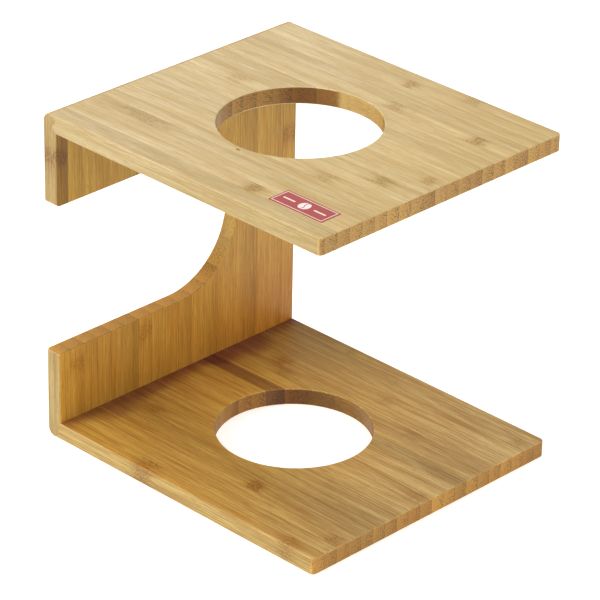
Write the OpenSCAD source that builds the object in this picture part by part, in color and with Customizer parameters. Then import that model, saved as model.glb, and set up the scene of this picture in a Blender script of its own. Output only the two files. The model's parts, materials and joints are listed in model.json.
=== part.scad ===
// Pour-over dripper stand: three glued bamboo boards in the shape of a C, standing on the lower one.
// Lengths are millimetres. The origin is under the middle of the stand, on the surface it stands on.
// +X runs from the upright to the free ends of the shelf and the base, -Y is the front, +Z is up.

/* [Stand] */
// Length from the outer face of the upright to the free ends
stand_w = 182; // [160:1:220]
// Depth from the front edge to the back edge
stand_d = 160; // [140:1:200]
// Height to the top of the shelf
stand_h = 173; // [150:1:220]
// Thickness of each of the three boards
board_t = 9; // [7:0.5:12]

/* [Holes] */
// Diameter of the hole in the shelf that holds the dripper
shelf_hole_d = 79; // [60:0.5:90]
// Diameter of the hole in the base under the server
base_hole_d = 77.5; // [60:0.5:90]
// Distance from the outer face of the upright to the axis of both holes
hole_x = 90; // [80:1:95]

/* [Slot in the upright] */
// Height of the lower edge of the slot above the table
slot_z = 47.5; // [40:0.5:55]
// Height of the slot, which is also the diameter of its round end
slot_h = 78.5; // [60:0.5:80]
// Rounding where the slot's edges meet the front edge
mouth_r = 1.8; // [1.2:0.1:3]

/* [Rounding] */
// Radius of the two outer corners where the boards are glued together
corner_r = 4; // [3:0.5:6]
// Radius of the corners at the free ends, seen from above
end_r = 2.5; // [2:0.5:6]
// Rounding of the long edges of the boards
edge_r = 0.7; // [0.5:0.1:1.1]
// Bevel at the rims of the two round holes
rim = 0.5; // [0.2:0.1:1]

/* [Bamboo strips] */
// Number of strips glued side by side in the shelf
shelf_strips = 21; // [12:1:21]
// Width of the first strip of the shelf, at the front edge
shelf_first = 2.75; // [2.75:0.25:8]
// Number of strips in the base
base_strips = 20; // [12:1:20]
// Width of the first strip of the base
base_first = 7.4; // [5:0.1:10]
// Number of strips in the upright
upright_strips = 18; // [12:1:18]
// Width of the first strip of the upright
upright_first = 7; // [5:0.1:10]

/* [Corner joint] */
// Depth of the notch on the inner side of the joint, as a share of the board thickness
notch = 0.32; // [0.2:0.02:0.35]
// How far the upright's tooth reaches into the board, as a share of the board thickness
tooth = 0.96; // [0.9:0.01:0.98]
// Distance from the tip of the tooth to the outer face, as a share of the board thickness
tooth_v = 0.27; // [0.2:0.01:0.35]

/* [Label] */
// Length of the label along the front edge
label_w = 33; // [20:1:40]
// Width of the label
label_d = 12.7; // [8:0.1:16]
// Thickness of the label
label_t = 0.2; // [0.1:0.05:0.5]
// Distance from the label to the free end of the shelf
label_end = 11; // [5:0.5:20]
// Distance from the label to the front edge of the shelf
label_front = 11.5; // [5:0.5:20]

/* [Hidden] */
$fn = 72;
over = 1;                              // how far a cutter runs past the face it cuts
x_out = -stand_w / 2;                  // outer face of the upright
x_in = x_out + board_t;                // inner face of the upright
x_end = stand_w / 2;                   // free ends
y_front = -stand_d / 2;
hole_at = x_out + hole_x;
slot_r = slot_h / 2;
slot_mid = slot_z + slot_r;

// The seam of a corner joint, from the inner corner to the outer face. The first number is the distance
// from the outer face of the upright, the second the distance from the outer face of the shelf or base.
seam = [
    [board_t, board_t],
    [board_t * (1 - notch), board_t * (1 - notch)],
    [board_t * tooth, board_t * tooth_v],
    [corner_r, 0]
];

function two_digits(i) = str(i < 10 ? "0" : "", i);
function strip_names(board, count) = [for (i = [1:count]) str(board, "_strip_", two_digits(i))];
// Front side of strip i of a board, where the back of the last strip is that of strip count + 1
function strip_y(i, count, first) =
    y_front + (i == 1 ? 0 : first + (i - 2) * (stand_d - first) / (count - 1));
function flipped(points) = [for (p = points) [p[0], stand_h - p[1]]];
function reversed(list) = [for (i = [len(list) - 1:-1:0]) list[i]];

// ---- Rounding tools ----

// What a rounding cutter takes off an edge at the origin of a solid that fills +X and -Y
module edge_waste(r) {
    difference() {
        translate([-over, -r]) square([r + over, r + over]);
        translate([r, -r]) circle(r);
    }
}

// What is cut off a square corner at the origin of a shape that fills +X and +Y
module corner_waste(r) {
    difference() {
        translate([-over, -over]) square(r + over);
        translate([r, r]) circle(r);
    }
}

// A rounding cutter run along the rim of a flat top face at z = 0, with the solid on its left.
// It starts at the origin along +X. Each step is [length, turn in degrees, radius of the turn]:
// a left turn goes round an outer corner of the face, a right turn goes round a hollow in it.
module rounding_run(steps, r, k = 0) {
    if (k < len(steps)) {
        length = steps[k][0];
        turn = steps[k][1];
        radius = steps[k][2];
        side = turn < 0 ? -1 : 1;
        rotate([90, 0, 90]) linear_extrude(length) edge_waste(r);
        translate([length, side * radius, 0]) {
            if (turn != 0)
                rotate([0, 0, turn > 0 ? -90 : 90 + turn])
                    rotate_extrude(angle = abs(turn))
                        translate([radius, 0]) mirror([turn > 0 ? 1 : 0, 0]) edge_waste(r);
            rotate([0, 0, turn]) translate([0, -side * radius, 0]) rounding_run(steps, r, k + 1);
        }
    }
}

// ---- Shelf and base: one board each, with its outer face at z = 0 and its inner face at z = board_t ----

module arm_outline() {
    polygon(concat(reversed(seam), [[stand_w, board_t], [stand_w, 0]]));
}

// Rounding along the front edge, round the free end and back along the rear edge of an upward face
module arm_rounding(start) {
    run = x_end - end_r - start;
    translate([start, y_front, 0])
        rounding_run([[run, 90, end_r], [stand_d - 2 * end_r, 90, end_r], [run, 0, 0]], edge_r);
}

// Cuts the bevel at the rim of a hole of radius r, in a face at z = 0
module rim_bevel(r) {
    translate([0, 0, -rim]) cylinder(h = rim + over, r1 = r, r2 = r + rim + over);
}

// A hole with bevelled rims through a board
module round_hole(r) {
    translate([0, 0, -over]) cylinder(h = board_t + 2 * over, r = r);
    translate([0, 0, board_t]) rim_bevel(r);
    mirror([0, 0, 1]) rim_bevel(r);
}

module arm_board(hole_d) {
    difference() {
        translate([x_out, stand_d / 2, 0]) rotate([90, 0, 0]) linear_extrude(stand_d) arm_outline();
        for (side = [0, 1])
            mirror([0, side, 0]) translate([x_end, y_front, -over])
                rotate([0, 0, 90]) linear_extrude(board_t + 2 * over) corner_waste(end_r);
        translate([0, 0, board_t]) arm_rounding(x_in - edge_r);
        mirror([0, 0, 1]) arm_rounding(x_out + corner_r);
        translate([hole_at, 0, 0]) round_hole(hole_d / 2);
    }
}

module base_board() {
    arm_board(base_hole_d);
}

module shelf_board() {
    translate([0, 0, stand_h]) mirror([0, 0, 1]) arm_board(shelf_hole_d);
}

// ---- Upright ----

module upright_outline() {
    difference() {
        polygon(concat(seam, [[0, 0], [0, stand_h]], reversed(flipped(seam))));
        corner_waste(corner_r);
        translate([0, stand_h]) mirror([0, 1]) corner_waste(corner_r);
    }
}

// The slot seen from the free end: Y to the right and Z up
module slot_outline() {
    translate([y_front - over, slot_z]) square([stand_d / 2 + over, slot_h]);
    translate([0, slot_mid]) circle(slot_r);
    for (s = [-1, 1])
        translate([y_front, slot_mid + s * slot_r])
            mirror([0, s < 0 ? 1 : 0]) corner_waste(mouth_r);
}

// Rounding up one face of the upright, into the slot, round its end and out again, then up the rear edge.
// The face is turned flat, with Z along +X and the front edge at y = 0.
module upright_rounding(start) {
    low = slot_z - mouth_r - start;
    depth = stand_d / 2 - mouth_r;
    high = stand_h - start - (slot_z + slot_h + mouth_r);
    translate([start, 0, 0])
        rounding_run(
            [[low, 90, mouth_r], [depth, -180, slot_r], [depth, 90, mouth_r], [high, 0, 0]], edge_r
        );
    translate([stand_h - start, stand_d, 0])
        rotate([0, 0, 180]) rounding_run([[stand_h - 2 * start, 0, 0]], edge_r);
}

// Rounding of the front or rear edge where it follows an outer corner of the upright
module corner_rounding() {
    rotate([0, 0, 180]) rotate_extrude(angle = 90)
        translate([corner_r, 0]) mirror([1, 0]) edge_waste(edge_r);
}

module upright_board() {
    difference() {
        translate([x_out, stand_d / 2, 0]) rotate([90, 0, 0]) linear_extrude(stand_d) upright_outline();
        translate([x_out - over, 0, 0])
            rotate([90, 0, 90]) linear_extrude(board_t + 2 * over) slot_outline();
        // inner face, then outer face
        translate([x_in, y_front, 0]) face_frame() upright_rounding(board_t - edge_r);
        translate([x_out, y_front, 0]) mirror([1, 0, 0]) face_frame() upright_rounding(corner_r);
        for (side = [0, 1], top = [0, 1])
            mirror([0, side, 0]) translate([x_out + corner_r, y_front, top * stand_h])
                mirror([0, 0, top]) translate([0, 0, corner_r]) rotate([90, 0, 0]) corner_rounding();
    }
}

// Turns a drawing in XY over to the inner face of the upright: its +X runs up, its +Y runs to the back
module face_frame() {
    mirror([1, 0, 0]) mirror([0, 1, 0]) rotate([0, -90, 0]) mirror([0, 1, 0]) children();
}

// ---- The nodes ----

// Keeps strip i of a board that is cut into count strips
module strip_of(i, count, first) {
    y = strip_y(i, count, first);
    next_y = strip_y(i + 1, count, first);
    intersection() {
        children();
        translate([x_out - over, y, -over]) cube([stand_w + 2 * over, next_y - y, stand_h + 2 * over]);
    }
}

module shelf_strip(i) {
    color(i % 3 == 0 ? "burlywood" : "wheat") strip_of(i, shelf_strips, shelf_first) shelf_board();
}

module base_strip(i) {
    color(i % 3 == 0 ? "peru" : "burlywood") strip_of(i, base_strips, base_first) base_board();
}

module upright_strip(i) {
    color(i % 3 == 0 ? "peru" : "sandybrown") strip_of(i, upright_strips, upright_first) upright_board();
}

// A thin printed plate, glued on the shelf near its free front corner
module label() {
    color("indianred")
        translate([x_end - label_end - label_w, y_front + label_front, stand_h])
            cube([label_w, label_d, label_t]);
}

for (i = [1:shelf_strips])
    shelf_strip(i);
for (i = [1:base_strips])
    base_strip(i);
for (i = [1:upright_strips])
    upright_strip(i);
label();
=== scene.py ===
"""Looks for the bamboo dripper stand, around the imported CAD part. Lengths are in metres."""

import json
import math
import random

import bpy
from mathutils import Matrix, Vector


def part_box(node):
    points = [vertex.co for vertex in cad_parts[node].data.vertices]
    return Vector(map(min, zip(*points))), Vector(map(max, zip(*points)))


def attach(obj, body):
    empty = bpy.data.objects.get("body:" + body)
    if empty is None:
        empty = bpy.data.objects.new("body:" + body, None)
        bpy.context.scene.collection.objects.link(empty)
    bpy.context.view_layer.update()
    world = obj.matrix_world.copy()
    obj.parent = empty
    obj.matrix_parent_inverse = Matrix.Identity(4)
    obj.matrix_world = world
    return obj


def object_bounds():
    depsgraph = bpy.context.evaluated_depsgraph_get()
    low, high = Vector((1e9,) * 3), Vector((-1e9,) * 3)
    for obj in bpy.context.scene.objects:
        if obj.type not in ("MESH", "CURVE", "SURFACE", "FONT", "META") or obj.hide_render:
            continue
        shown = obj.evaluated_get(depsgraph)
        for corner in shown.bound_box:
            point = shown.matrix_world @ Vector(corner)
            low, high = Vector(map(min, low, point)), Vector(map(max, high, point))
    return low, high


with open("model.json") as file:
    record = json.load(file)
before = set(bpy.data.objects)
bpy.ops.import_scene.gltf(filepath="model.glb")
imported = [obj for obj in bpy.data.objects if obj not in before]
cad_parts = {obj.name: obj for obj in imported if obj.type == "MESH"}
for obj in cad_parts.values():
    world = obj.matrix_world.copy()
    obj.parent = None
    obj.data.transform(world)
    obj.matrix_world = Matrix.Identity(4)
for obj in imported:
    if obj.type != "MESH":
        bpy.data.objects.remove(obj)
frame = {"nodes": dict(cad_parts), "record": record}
cad_low, cad_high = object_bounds()

MM = 0.001
nodes = frame["nodes"]


def numbered(board):
    """Names of a board's strips, from the front of the stand to the back."""
    return sorted(name for name in nodes if name.startswith(board + "_strip_"))


def covers(name, back):
    """Whether a strip covers the place that far back from the front, in mm."""
    low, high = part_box(name)
    return low.y <= cad_low.y + back * MM < high.y


def mount(name):
    """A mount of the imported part."""
    return next(m for m in frame["record"]["mounts"] if m["name"] == name)


board_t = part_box("base_strip_02")[1].z
inner = cad_low.x + board_t  # inner face of the upright
middle_z = (cad_low.z + cad_high.z) / 2
hole_x = mount("dripper_hole")["pos_m"][0]
hole_r = {
    "shelf": mount("dripper_hole")["dims"]["r_mm"] * MM,
    "base": mount("base_hole")["dims"]["r_mm"] * MM,
}


# ---- Node trees ----


class Shader:
    """A material whose node tree is written as calls. A value is a number, a tuple or a socket."""

    def __init__(self, name):
        self.material = bpy.data.materials.new(name)
        self.material.use_nodes = True
        self.tree = self.material.node_tree
        self.surface = self.tree.nodes["Principled BSDF"]

    def node(self, kind, **options):
        made = self.tree.nodes.new("ShaderNode" + kind)
        for option, value in options.items():
            setattr(made, option, value)
        return made

    def feed(self, socket, value):
        if isinstance(value, bpy.types.NodeSocket):
            self.tree.links.new(value, socket)
        else:
            socket.default_value = value

    def math(self, operation, a, b=0.0):
        made = self.node("Math", operation=operation)
        self.feed(made.inputs[0], a)
        self.feed(made.inputs[1], b)
        return made.outputs[0]

    def add(self, a, b):
        return self.math("ADD", a, b)

    def times(self, a, b):
        return self.math("MULTIPLY", a, b)

    def absolute(self, value):
        return self.math("ABSOLUTE", value)

    def shares(self, a, share_a, b, share_b):
        """Two values added, each times its share."""
        return self.add(self.times(a, share_a), self.times(b, share_b))

    def distance(self, x, y):
        """Length of the vector (x, y)."""
        return self.math("SQRT", self.add(self.math("POWER", x, 2), self.math("POWER", y, 2)))

    def margin(self, value, low, high):
        """How far inside the nearer of low and high a value is."""
        return self.math("MINIMUM", self.add(value, -low), self.add(self.times(value, -1), high))

    def ease(self, value, start, end, low=0.0, high=1.0):
        """Goes smoothly from low to high as value goes from start to end."""
        made = self.node("MapRange", interpolation_type="SMOOTHSTEP")
        for socket, number in zip(made.inputs, (value, start, end, low, high)):
            self.feed(socket, number)
        return made.outputs[0]

    def vector(self, x, y, z):
        made = self.node("CombineXYZ")
        for socket, value in zip(made.inputs, (x, y, z)):
            self.feed(socket, value)
        return made.outputs[0]

    def split(self, vector):
        made = self.node("SeparateXYZ")
        self.feed(made.inputs[0], vector)
        return made.outputs

    def noise(self, vector, detail=2.0):
        """About 0 to 1, with features one unit across."""
        made = self.node("TexNoise")
        self.feed(made.inputs["Vector"], vector)
        self.feed(made.inputs["Scale"], 1.0)
        self.feed(made.inputs["Detail"], detail)
        return made.outputs["Fac"]

    def cells(self, vector):
        """Distance to the nearest of points scattered one unit apart."""
        made = self.node("TexVoronoi")
        self.feed(made.inputs["Vector"], vector)
        self.feed(made.inputs["Scale"], 1.0)
        return made.outputs["Distance"]

    def mix(self, amount, a, b, blend="MIX"):
        made = self.node("Mix", data_type="RGBA", blend_type=blend)
        self.feed(made.inputs["Factor"], amount)
        self.feed(made.inputs["A"], a)
        self.feed(made.inputs["B"], b)
        return made.outputs["Result"]

    def bump(self, height, distance, strength):
        made = self.node("Bump")
        self.feed(made.inputs["Height"], height)
        self.feed(made.inputs["Distance"], distance)
        self.feed(made.inputs["Strength"], strength)
        self.feed(self.surface.inputs["Normal"], made.outputs["Normal"])


# ---- Bamboo ----

FIBRE = 0.72 * MM  # distance between the dark bundles of fibre
GLUE = 0.22 * MM  # how far a glue line darkens the strips beside it
GLUE_DARK = 0.72  # how much of the wood's lightness is left at a glue line
WALL = 0.12 * MM  # depth of the wood that the hole saw darkened
WORN = 0.8 * MM  # how far the edges of the ends are worn
WANDER = 0.5 * MM  # how far the fibres wander sideways
KNUCKLE_WANDER = 0.9 * MM  # and how much further at a knuckle
SEED_SHIFT = 0.37  # how far a seed of 1 moves the pattern along a strip
SMOOTHEST = 0.34  # roughness of the lacquer where it is smoothest
SPECULAR = 0.3  # reflection from the lacquer
RELIEF = 0.05 * MM  # height of the grain's relief

# Streaks of the grain: how long and how wide they are, and the detail in them
BROAD = (70 * MM, 0.9 * MM, 2)
PATCH = (60 * MM, 5 * MM, 1)
LINES = (28 * MM, 0.42 * MM, 2)
HAIRS = (10 * MM, 0.28 * MM, 1)
PORES = (4 * MM, 0.3 * MM, 0)
# Other patterns: how many features there are in a metre along the fibres, and across them
RAGGED = (90, 500)  # the uneven ends of the knuckles
WANDERING = (16, 60)  # the fibres' bends
BUNDLES = (14, 1 / FIBRE)
DASHES = (800, 1700)  # the marks of a knuckle
# Where in a pattern's noise its marks start, and where they are full
VESSEL_AT = (0.56, 0.62)
PALE_AT = (0.43, 0.36)
PORE_AT = (0.66, 0.74)
DASH_AT = (0.46, 0.55)

# Light and dark wood
STRAW = (0.66, 0.53, 0.31, 1)
SHADOW_STRAW = (0.45, 0.305, 0.12, 1)
HONEY = (0.60, 0.445, 0.20, 1)
SHADOW_HONEY = (0.36, 0.20, 0.055, 1)
LIGHT = {"shelf": STRAW, "base": HONEY, "upright": HONEY}
DARK = {"shelf": SHADOW_STRAW, "base": SHADOW_HONEY, "upright": SHADOW_HONEY}

# The ends of the fibres, and the bundles in them
END_PALE = (0.47, 0.285, 0.087, 1)
END_DARK = (0.23, 0.105, 0.03, 1)
END_DOT = (0.13, 0.055, 0.018, 1)

KNUCKLE = {
    "shelf": (0.27, 0.15, 0.03, 1),
    "base": (0.25, 0.11, 0.018, 1),
    "upright": (0.25, 0.12, 0.02, 1),
}

# Tints, multiplied over the wood
INSIDE_WARM_SHADE = (1.0, 0.78, 0.28, 1)  # painted warm shade on the faces inside the C, for light bounced between the boards
CORNER_SHADE_AND_DARK_STRIP = (0.36, 0.17, 0.62, 1)  # painted shade in the corner of the base along the foot of the upright; it also darkens one strip
FOOT_WARM_SHADE = (0.98, 0.72, 0.55, 1)  # painted warm shade at the foot of the upright, towards the back
BROWN = (0.58, 0.50, 0.31, 1)  # the first strip's inner face above the slot
SHADED = (0.84, 0.92, 0.86, 1)  # the top of the upright, under the shelf
BACK_LEFT_SHADE = (0.74, 0.80, 0.94, 1)  # painted shade in the back left corner of the base
ROUTED = (0.76, 0.635, 0.25, 1)  # the wall of the slot
ROUTED_FLOOR_LIT = (1.12, 0.87, 0.44, 1)  # its level stretch, which faces up: the wall's tint with painted light
BASE_END = (0.94, 0.80, 0.46, 1)  # the end grain of the base
WARM = (0.95, 0.91, 0.78, 1)  # the shelf towards its free end
# Painted light and shade on the faces towards the front, which also warms them
FRONT_FACE_LIGHTING = {
    "shelf": (1.0, 0.97, 0.82, 1),
    "base": (1.03, 1.01, 0.74, 1),
    "upright": (0.93, 0.92, 0.74, 1),
}
# The walls of the round holes: sawn at a slant, square across the fibres, and along them
SAWN = {"shelf": (0.36, 0.215, 0.04, 1), "base": (0.316, 0.21, 0.06, 1)}
SAWN_SQUARE = {"shelf": (0.74, 0.66, 0.46, 1), "base": (0.63, 0.54, 0.46, 1)}
SAWN_ALONG = {"shelf": (0.82, 0.73, 0.50, 1), "base": (0.47, 0.33, 0.09, 1)}
# The part of the wall's normal along X: it runs along the fibres up to ALONG, at a slant from
# SLANT_FROM to SLANT_TO, and square across them from SQUARE
ALONG = {"shelf": 0.24, "base": 0.0}
SLANT_FROM = 0.34
SLANT_TO = 0.70
SQUARE = 0.95

# Knuckles that show: how far along the strip from the stand's outer face (from the floor on the
# upright), how far back from the front, half the length of the mark, all in mm, and its strength
KNUCKLES = {
    "shelf": [
        (161, 121, 5, 1.2), (109, 128, 6, 0.8), (160, 64, 6, 1), (160, 59, 6, 0.9), (175, 75, 4, 1),
        (34, 91, 7, 0.6), (38, 31, 15, 0.75), (126, 16, 5, 1.4), (140, 45, 6, 0.7), (96, 152, 4, 1),
        (130, 157, 6, 0.7),
    ],
    "base": [
        (117, 28, 4, 1.7), (176, 21, 4, 0.8), (176, 78, 5, 0.7), (175, 151, 5, 0.7), (134, 112, 5, 0.5),
        (103, 134, 5, 0.5), (30, 42, 6, 0.8), (38, 126, 5, 0.9), (46, 119, 5, 0.6), (55, 156, 4, 0.5),
        (67, 3, 7, 1.2), (164, 3, 6, 0.9),
    ],
    "upright": [(38, 10, 5, 0.8), (40, 53, 6, 0.8), (116, 152, 5, 1), (151, 3, 5, 1.3)],
}
# A small dark speck by the shelf's hole, and the base's darker strip: where they are, in mm
SPECK_ALONG = 92
SPECK_BACK = 37.5
DARK_STRIP_BACK = 100
# Strips that stand out from their neighbours: how far back they are in mm, and how light they are
STANDOUT = {
    "shelf": [(6, 0.90), (32, 0.95), (90, 1.04), (135, 0.95)],
    "base": [
        (3, 1.10), (12, 1.00), (20, 1.00), (28, 0.93), (36, 0.83), (44, 0.88), (52, 0.92), (60, 1.00),
        (68, 1.08), (76, 1.09), (84, 1.10), (92, 1.06), (100, 0.86), (110, 1.04),
    ],
    "upright": [(46, 0.84), (54, 1.04), (128, 0.90)],
}
CONTRAST = {"shelf": 0.18, "base": 0.125, "upright": 0.19}  # less is more contrast in the grain
VESSELS = {"shelf": 0.6, "base": 0.8, "upright": 0.6}  # strength of the thin dark lines
TONE_SPREAD = {"shelf": 0.035, "base": 0.08, "upright": 0.05}


class Strip(Shader):
    """Side-pressed bamboo for one strip. Its colour is built up by painting and tinting."""

    def __init__(self, name, board, seed):
        super().__init__(name)
        self.name = name
        self.board = board
        self.low, self.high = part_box(name)
        spot = self.node("TexCoord")
        self.x, self.y, self.z = self.split(spot.outputs["Object"])
        self.nx, self.ny, self.nz = self.split(spot.outputs["Normal"])
        self.length, self.depth = (self.z, self.x) if board == "upright" else (self.x, self.z)
        self.along = self.add(self.length, seed * SEED_SHIFT)
        # 0 to 1 from the front of the strip to its rear, where the culm's skin was
        self.rear = self.math("DIVIDE", self.add(self.y, -self.low.y), self.high.y - self.low.y)

    def paint(self, amount, colour):
        """Lays a colour over the strip, as far as amount says."""
        self.colour = self.mix(amount, self.colour, colour)

    def tint(self, amount, shade):
        """Multiplies the strip's colour by a shade, as far as amount says."""
        self.colour = self.mix(amount, self.colour, self.mix(1.0, self.colour, shade, "MULTIPLY"))

    def stretch(self, y, long_rate, cross_rate):
        """A place for a pattern with so many features a metre along the fibres and across them."""
        return self.vector(
            self.times(self.along, long_rate), self.times(y, cross_rate), self.times(self.depth, cross_rate)
        )

    def grain(self, long, across, detail):
        """Noise that follows the fibres, with features that long and that far across."""
        return self.noise(self.stretch(self.fibre_y, 1 / long, 1 / across), detail)

    def facing(self, part):
        """0 to 1 as a face turns towards an axis, from the part of its normal along that axis."""
        return self.ease(part, 0.30, 0.80)

    def slot_height(self):
        """1 at the heights of the upright's slot, 0 at the corner joints."""
        return self.ease(self.absolute(self.add(self.z, -middle_z)), 60 * MM, 55 * MM)

    def place_knuckles(self, knuckles):
        """How near a knuckle is, with ragged ends, and how near its wider smear along the fibres.

        knuckles are (place along the strip, half length, strength).
        """
        self.near = 0.0
        self.smear = 0.0
        if not knuckles:
            return
        ragged = self.noise(self.stretch(self.y, *RAGGED), 3)
        for place, half, strength in knuckles:
            away = self.absolute(self.add(self.length, -place))
            away = self.add(away, self.times(self.add(ragged, -0.5), half * 3))
            mark = self.ease(away, half * 1.2, half * 0.3, 0, strength)
            smear = self.ease(away, half * 2.4, half * 0.6, 0, strength)
            self.near = self.math("MAXIMUM", self.near, mark)
            self.smear = self.math("MAXIMUM", self.smear, smear)

    def lay_fibres(self):
        """Fibres wander a little, and more at a knuckle."""
        wander = self.noise(self.stretch(self.y, *WANDERING))
        reach = self.add(WANDER, self.times(self.near, KNUCKLE_WANDER))
        self.fibre_y = self.add(self.y, self.times(self.add(wander, -0.5), reach))

    def paint_grain(self):
        """Streaks of light and dark wood, with fine lines and pores in them."""
        light, dark = LIGHT[self.board], DARK[self.board]
        broad = self.grain(*BROAD)
        patch = self.grain(*PATCH)
        self.lines = self.grain(*LINES)
        hairs = self.grain(*HAIRS)
        wide = self.shares(broad, 0.18, patch, 0.26)
        self.streaks = self.add(wide, self.shares(self.lines, 0.36, hairs, 0.20))
        spread = CONTRAST[self.board]
        self.colour = self.mix(self.ease(self.streaks, 0.5 - spread, 0.5 + spread), light, dark)
        # Thin dark vessels and thin pale fibres between them
        vessels = self.ease(self.shares(self.lines, 0.55, hairs, 0.45), *VESSEL_AT)
        self.paint(self.times(vessels, VESSELS[self.board]), dark)
        pale = self.ease(self.shares(self.lines, 0.5, hairs, 0.5), *PALE_AT)
        self.paint(self.times(pale, 0.45), light)
        # Short pores
        pores = self.ease(self.grain(*PORES), *PORE_AT)
        self.paint(self.times(pores, 0.6), dark)

    def end_grain(self):
        """How far a face shows the ends of the fibres."""
        if self.board == "upright":
            # Its ends are inside the corner joints, so only the slot's wall shows them
            return self.times(self.facing(self.absolute(self.nz)), self.slot_height())
        # The bevel of the hole's rim and the worn edges of the ends keep the colour of the face
        steep = self.ease(self.absolute(self.nz), 0.72, 0.55)
        unworn = self.ease(self.margin(self.z, self.low.z, self.high.z), WORN / 3, WORN)
        return self.times(self.times(self.facing(self.absolute(self.nx)), steep), unworn)

    def paint_ends(self, end_dark):
        """The ends of the fibres, dotted with bundles that are larger towards the rear."""
        bundles = self.cells(self.stretch(self.fibre_y, *BUNDLES))
        size = self.add(0.24, self.times(self.rear, 0.2))
        self.dots = self.ease(bundles, self.add(size, 0.10), self.add(size, -0.06))
        # They are paler and plainer on the front half of the wall of the base's hole
        marked = self.ease(self.ny, -0.1, 0.3, 1, 0.2) if self.board == "base" else 1.0
        ends = self.mix(self.times(marked, end_dark), END_PALE, END_DARK)
        ends = self.mix(self.times(self.times(self.dots, 0.8), marked), ends, END_DOT)
        self.ends_show = self.end_grain()
        self.paint(self.ends_show, ends)

    def paint_knuckles(self):
        """Brown dashes over a faint smear."""
        dashes = self.noise(self.stretch(self.fibre_y, *DASHES), 3)
        marks = self.add(self.times(self.ease(dashes, *DASH_AT), 0.62), 0.12)
        drawn_out = self.ease(self.lines, 0.38, 0.60, 0.15, 0.65)
        self.paint(self.times(self.smear, drawn_out), DARK[self.board])
        self.paint(self.times(self.near, marks), KNUCKLE[self.board])

    def tint_upright(self):
        """Painted warm shade on the inner face, and the wall of the slot, with painted light on its level
        stretch.
        """
        inside = self.facing(self.nx)
        # Painted warm shade on the inner face, for light bounced inside the C
        self.tint(inside, INSIDE_WARM_SHADE)
        # The slot's wall, away from the front and back edges and the outer corners
        sunk = self.ease(self.absolute(self.y), cad_high.y - 0.3 * MM, cad_high.y - 0.8 * MM)
        sunk = self.times(sunk, self.slot_height())
        level = self.ease(self.nz, 0.7, 1)
        # Painted light on the level stretch of the slot, which faces up
        self.paint(self.times(sunk, self.times(level, 0.25)), LIGHT[self.board])
        across = self.ease(self.absolute(self.nx), 0.6, 0.2)
        self.tint(self.times(sunk, across), self.mix(level, ROUTED, ROUTED_FLOOR_LIT))
        under_shelf = self.ease(self.z, cad_high.z - 90 * MM, cad_high.z - 20 * MM)
        self.tint(self.times(under_shelf, inside), SHADED)
        # Painted warm shade at the foot of the upright, towards the back
        foot = self.ease(self.z, cad_low.z + 70 * MM, cad_low.z)
        foot = self.times(foot, self.ease(self.y, -20 * MM, 70 * MM, 0.3, 1))
        self.tint(self.times(foot, inside), FOOT_WARM_SHADE)
        if self.name == numbered("upright")[0]:
            above_slot = self.ease(self.z, 90 * MM, 110 * MM)
            self.tint(self.times(inside, above_slot), BROWN)

    def tint_base(self):
        """Painted warm shade and painted shade on the top face, a darker strip, and the ends."""
        up = self.facing(self.nz)
        # Painted warm shade on the top face, strongest by the upright and fading towards the free end
        slanting = self.add(self.x, self.times(self.y, 0.4))
        near_upright_shade = self.ease(slanting, inner + 20 * MM, inner + 218 * MM, 0.93, 0.1)
        self.tint(self.times(up, near_upright_shade), INSIDE_WARM_SHADE)
        # Painted shade in the back left corner of the top face
        back = self.ease(self.y, 20 * MM, 70 * MM)
        left = self.ease(self.x, inner + 130 * MM, inner + 20 * MM)
        self.tint(self.times(up, self.times(back, left)), BACK_LEFT_SHADE)
        # Painted shade along the foot of the upright, and the same darkening in one strip as far as the
        # hole
        blot = self.noise(self.vector(self.times(self.x, 35), self.times(self.y, 25), 0), 2)
        edge = self.add(self.x, self.times(self.add(blot, -0.5), 36 * MM))
        narrow = self.ease(edge, inner, inner + 17 * MM, 0.6, 0)
        wide = self.ease(edge, inner, inner + 60 * MM, 0.3, 0)
        wide = self.times(wide, self.ease(self.y, -70 * MM, 0, 0.2, 1))
        shade_and_dark_strip = self.times(up, self.add(narrow, wide))
        if covers(self.name, DARK_STRIP_BACK):
            shade_and_dark_strip = self.add(shade_and_dark_strip, self.ease(self.x, hole_x - 30 * MM, hole_x - 10 * MM, 0.42, 0))
        self.tint(shade_and_dark_strip, CORNER_SHADE_AND_DARK_STRIP)
        self.tint(self.ends_show, BASE_END)

    def tint_hole(self):
        """The wall of the round hole, darkest where the saw met the fibres at a slant."""
        out = self.distance(self.add(self.x, -hole_x), self.y)
        radius = hole_r[self.board]
        wall = self.ease(out, radius + WALL, radius + WALL / 4)
        square = self.ease(self.nx, SLANT_TO, SQUARE)
        sawn = self.mix(square, SAWN[self.board], SAWN_SQUARE[self.board])
        across = self.ease(self.nx, ALONG[self.board], SLANT_FROM)
        sawn = self.mix(across, SAWN_ALONG[self.board], sawn)
        self.tint(self.times(wall, self.ease(self.ny, 0, 0.4, 1, 0.6)), sawn)

    def tint_shelf(self):
        """The warmer free end, and the speck by the hole."""
        self.tint(self.ease(self.x, -60 * MM, 90 * MM), WARM)
        if covers(self.name, SPECK_BACK):
            off_x = self.times(self.add(self.x, -(cad_low.x + SPECK_ALONG * MM)), 0.5)
            off_y = self.add(self.fibre_y, -(cad_low.y + SPECK_BACK * MM))
            self.paint(self.ease(self.distance(off_x, off_y), 0.9 * MM, 0.4 * MM), KNUCKLE["base"])

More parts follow.
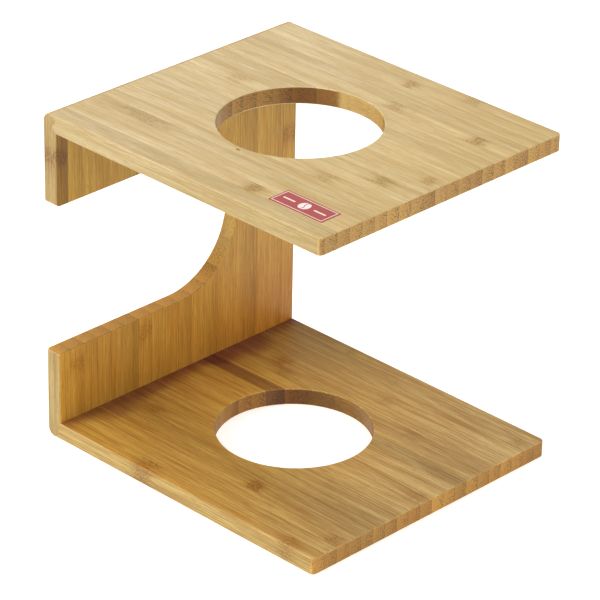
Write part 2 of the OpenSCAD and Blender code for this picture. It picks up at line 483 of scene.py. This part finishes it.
    def finish(self, tone):
        """Darkens the glue lines, sets how light the strip is, and lacquers it."""
        seam = self.ease(self.margin(self.y, self.low.y, self.high.y), 0, GLUE, GLUE_DARK, 1)
        shade = self.times(self.times(seam, tone), self.ease(self.rear, 0, 1, 1.04, 0.95))
        colour = self.mix(1.0, self.colour, self.vector(shade, shade, shade), "MULTIPLY")
        self.feed(self.surface.inputs["Base Color"], colour)
        rough = self.shares(self.lines, 0.16, self.ends_show, 0.16)
        self.feed(self.surface.inputs["Roughness"], self.add(rough, SMOOTHEST))
        self.surface.inputs["Specular IOR Level"].default_value = SPECULAR
        self.bump(self.shares(self.streaks, 0.5, self.dots, -0.35), RELIEF, 0.5)


def bamboo(name, board, tone, end_dark, knuckles, seed):
    """The material of one strip."""
    strip = Strip(name, board, seed)
    strip.place_knuckles(knuckles)
    strip.lay_fibres()
    strip.paint_grain()
    strip.paint_ends(end_dark)
    if knuckles:
        strip.paint_knuckles()
    if board == "upright":
        strip.tint_upright()
    if board == "base":
        strip.tint_base()
        strip.tint_hole()
    if board == "shelf":
        strip.tint_hole()
        strip.tint_shelf()
    # Painted light and shade on the faces towards the front
    strip.tint(strip.ease(strip.ny, -0.7, -0.95), FRONT_FACE_LIGHTING[board])
    strip.finish(tone)
    return strip.material


draw = random.Random(14)
for board in ("shelf", "base", "upright"):
    start = cad_low.z if board == "upright" else cad_low.x
    for name in numbered(board):
        tone = 1 + draw.uniform(-1, 1) * TONE_SPREAD[board]
        for back, wanted in STANDOUT[board]:
            tone = wanted if covers(name, back) else tone
        knuckles = [
            (start + at * MM, half * MM, strength)
            for at, back, half, strength in KNUCKLES[board] if covers(name, back)
        ]
        end_dark = draw.uniform(0.0, 0.5)
        seed = draw.uniform(0, 9)
        nodes[name].material_slots[0].material = bamboo(name, board, tone, end_dark, knuckles, seed)


# ---- Label ----


def plain(name, colour, rough, speckle):
    """A printed colour with a faint mottle."""
    s = Shader(name)
    mottle_rate = 1500  # features a metre
    x, y, z = s.split(s.node("TexCoord").outputs["Object"])
    place = s.vector(s.times(x, mottle_rate), s.times(y, mottle_rate), s.times(z, mottle_rate))
    mottle = s.noise(place, 3)
    darker = tuple(c * (1 - speckle) for c in colour[:3]) + (1,)
    s.feed(s.surface.inputs["Base Color"], s.mix(mottle, colour, darker))
    s.feed(s.surface.inputs["Roughness"], s.add(s.times(mottle, 0.12), rough))
    s.bump(mottle, 0.01 * MM, 0.4)
    return s.material


RED = (0.40, 0.065, 0.055, 1)
PALE = (0.80, 0.70, 0.66, 1)
nodes["label"].material_slots[0].material = plain("label_red", RED, rough=0.42, speckle=0.18)
pale_print = plain("label_pale", PALE, rough=0.45, speckle=0.08)

PRINT = 0.04 * MM  # thickness of the pale print
LINE = 0.2 * MM  # half the width of the border's line
MARGIN = 1.0 * MM  # from the label's edge to the border
label_low, label_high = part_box("label")
label_middle = (label_low + label_high) / 2


def raised(name, outlines):
    """Flat shapes standing on the label, each outline a loop of (x, y) from the label's middle."""
    points, faces = [], []
    for loop in outlines:
        start, count = len(points), len(loop)
        for height in (0, PRINT):
            points += [(label_middle.x + u, label_middle.y + v, label_high.z + height) for u, v in loop]
        faces.append([start + i for i in reversed(range(count))])
        faces.append([start + count + i for i in range(count)])
        for i in range(count):
            j = (i + 1) % count
            faces.append([start + i, start + j, start + count + j, start + count + i])
    mesh = bpy.data.meshes.new(name)
    mesh.from_pydata(points, [], faces)
    piece = bpy.data.objects.new(name, mesh)
    bpy.context.scene.collection.objects.link(piece)
    mesh.materials.append(pale_print)
    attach(piece, "root")


def bar(u, v, half_u, half_v):
    """A rectangle about (u, v), counterclockwise from its lower left corner."""
    left, right = u - half_u, u + half_u
    near, far = v - half_v, v + half_v
    return [(left, near), (right, near), (right, far), (left, far)]


def half_bean(side):
    """Half of a coffee bean, cut off by a wavy crease."""
    half_tall = 3.3 * MM
    half_wide = 3.0 * MM
    half_crease = half_tall * 0.94  # the crease stops just short of the bean's ends
    gap = 0.25 * MM  # half the width of the crease
    wave = 0.55 * MM
    steps = 14
    outer = [
        (side * half_wide * math.sin(math.pi * i / steps), half_tall * math.cos(math.pi * i / steps))
        for i in range(1, steps)
    ]
    crease = [
        (side * gap + wave * math.sin(2 * math.pi * i / steps), half_crease * (2 * i / steps - 1))
        for i in range(steps + 1)
    ]
    loop = outer + crease
    return loop if side < 0 else loop[::-1]


half_u = (label_high.x - label_low.x) / 2 - MARGIN
half_v = (label_high.y - label_low.y) / 2 - MARGIN
raised("label_border", [
    bar(0, half_v, half_u + LINE, LINE), bar(0, -half_v, half_u + LINE, LINE),
    bar(half_u, 0, LINE, half_v - LINE), bar(-half_u, 0, LINE, half_v - LINE),
])
raised("label_bean", [half_bean(-1), half_bean(1)])
raised("label_bars", [bar(side * 9.5 * MM, 0, 3.6 * MM, 0.5 * MM) for side in (-1, 1)])


# ---- Floor, light and camera ----

FLOOR = 4.0  # half the side of the floor
FLOOR_GAP = 0.05 * MM  # keeps the floor's face off the base's
FLOOR_WHITE = (0.88, 0.88, 0.88, 1)
FLOOR_GLOW = 0.47  # makes the stand's shadow faint
floor_mesh = bpy.data.meshes.new("floor")
floor_mesh.from_pydata([(x, y, 0) for x, y in bar(0, 0, FLOOR, FLOOR)], [], [(0, 1, 2, 3)])
floor = bpy.data.objects.new("floor", floor_mesh)
bpy.context.scene.collection.objects.link(floor)
floor.location.z = cad_low.z - FLOOR_GAP
floor_paint = Shader("floor_white")
floor_paint.surface.inputs["Base Color"].default_value = FLOOR_WHITE
floor_paint.surface.inputs["Roughness"].default_value = 0.9
floor_paint.surface.inputs["Emission Color"].default_value = (1, 1, 1, 1)
floor_paint.surface.inputs["Emission Strength"].default_value = FLOOR_GLOW
floor_mesh.materials.append(floor_paint.material)

world = bpy.data.worlds.new("studio")
bpy.context.scene.world = world
world.use_nodes = True
world.node_tree.nodes["Background"].inputs["Color"].default_value = (1, 1, 1, 1)
world.node_tree.nodes["Background"].inputs["Strength"].default_value = 0.5

stand_middle = (cad_low + cad_high) / 2


def softbox(name, place, size, power):
    """A square area light that faces the stand."""
    lamp = bpy.data.lights.new(name, "AREA")
    lamp.shape = "SQUARE"
    lamp.size = size
    lamp.energy = power
    made = bpy.data.objects.new(name, lamp)
    bpy.context.scene.collection.objects.link(made)
    made.location = place
    made.rotation_mode = "QUATERNION"
    made.rotation_quaternion = (Vector(place) - stand_middle).to_track_quat("Z", "Y")


# Lights: where they stand, how large they are, and their power in watts
softbox("key", place=(-0.55, -1.1, 0.5), size=0.8, power=11)
softbox("top", place=(-0.1, 0.1, 1.3), size=0.9, power=9)
softbox("fill", place=(1.2, -0.2, 0.45), size=0.8, power=5)


def photo_camera(azimuth, elevation, roll, distance, aim, lens, shift):
    """Looks at aim from the front right, level but for a small roll. Angles are in degrees."""
    a, e, r = (math.radians(v) for v in (azimuth, elevation, roll))
    back = Vector((math.sin(a) * math.cos(e), -math.cos(a) * math.cos(e), math.sin(e)))
    right = Vector((math.cos(a), math.sin(a), 0))
    up = back.cross(right)
    tilted_right = right * math.cos(r) + up * math.sin(r)
    tilted_up = up * math.cos(r) - right * math.sin(r)
    lens_data = bpy.data.cameras.new("camera")
    lens_data.lens = lens
    lens_data.shift_x, lens_data.shift_y = shift
    made = bpy.data.objects.new("camera", lens_data)
    bpy.context.scene.collection.objects.link(made)
    turn = Matrix((tilted_right, tilted_up, back)).transposed().to_4x4()
    made.matrix_world = Matrix.Translation(aim + back * distance) @ turn
    bpy.context.scene.camera = made


photo_camera(
    azimuth=44.22,
    elevation=27.76,
    roll=1.18,
    distance=1.7158,
    aim=Vector((0.0067, -0.0025, 0.0800)),
    lens=216.2,
    shift=(-0.0076, 0.0092),
)
bpy.context.scene.view_settings.view_transform = "Standard"
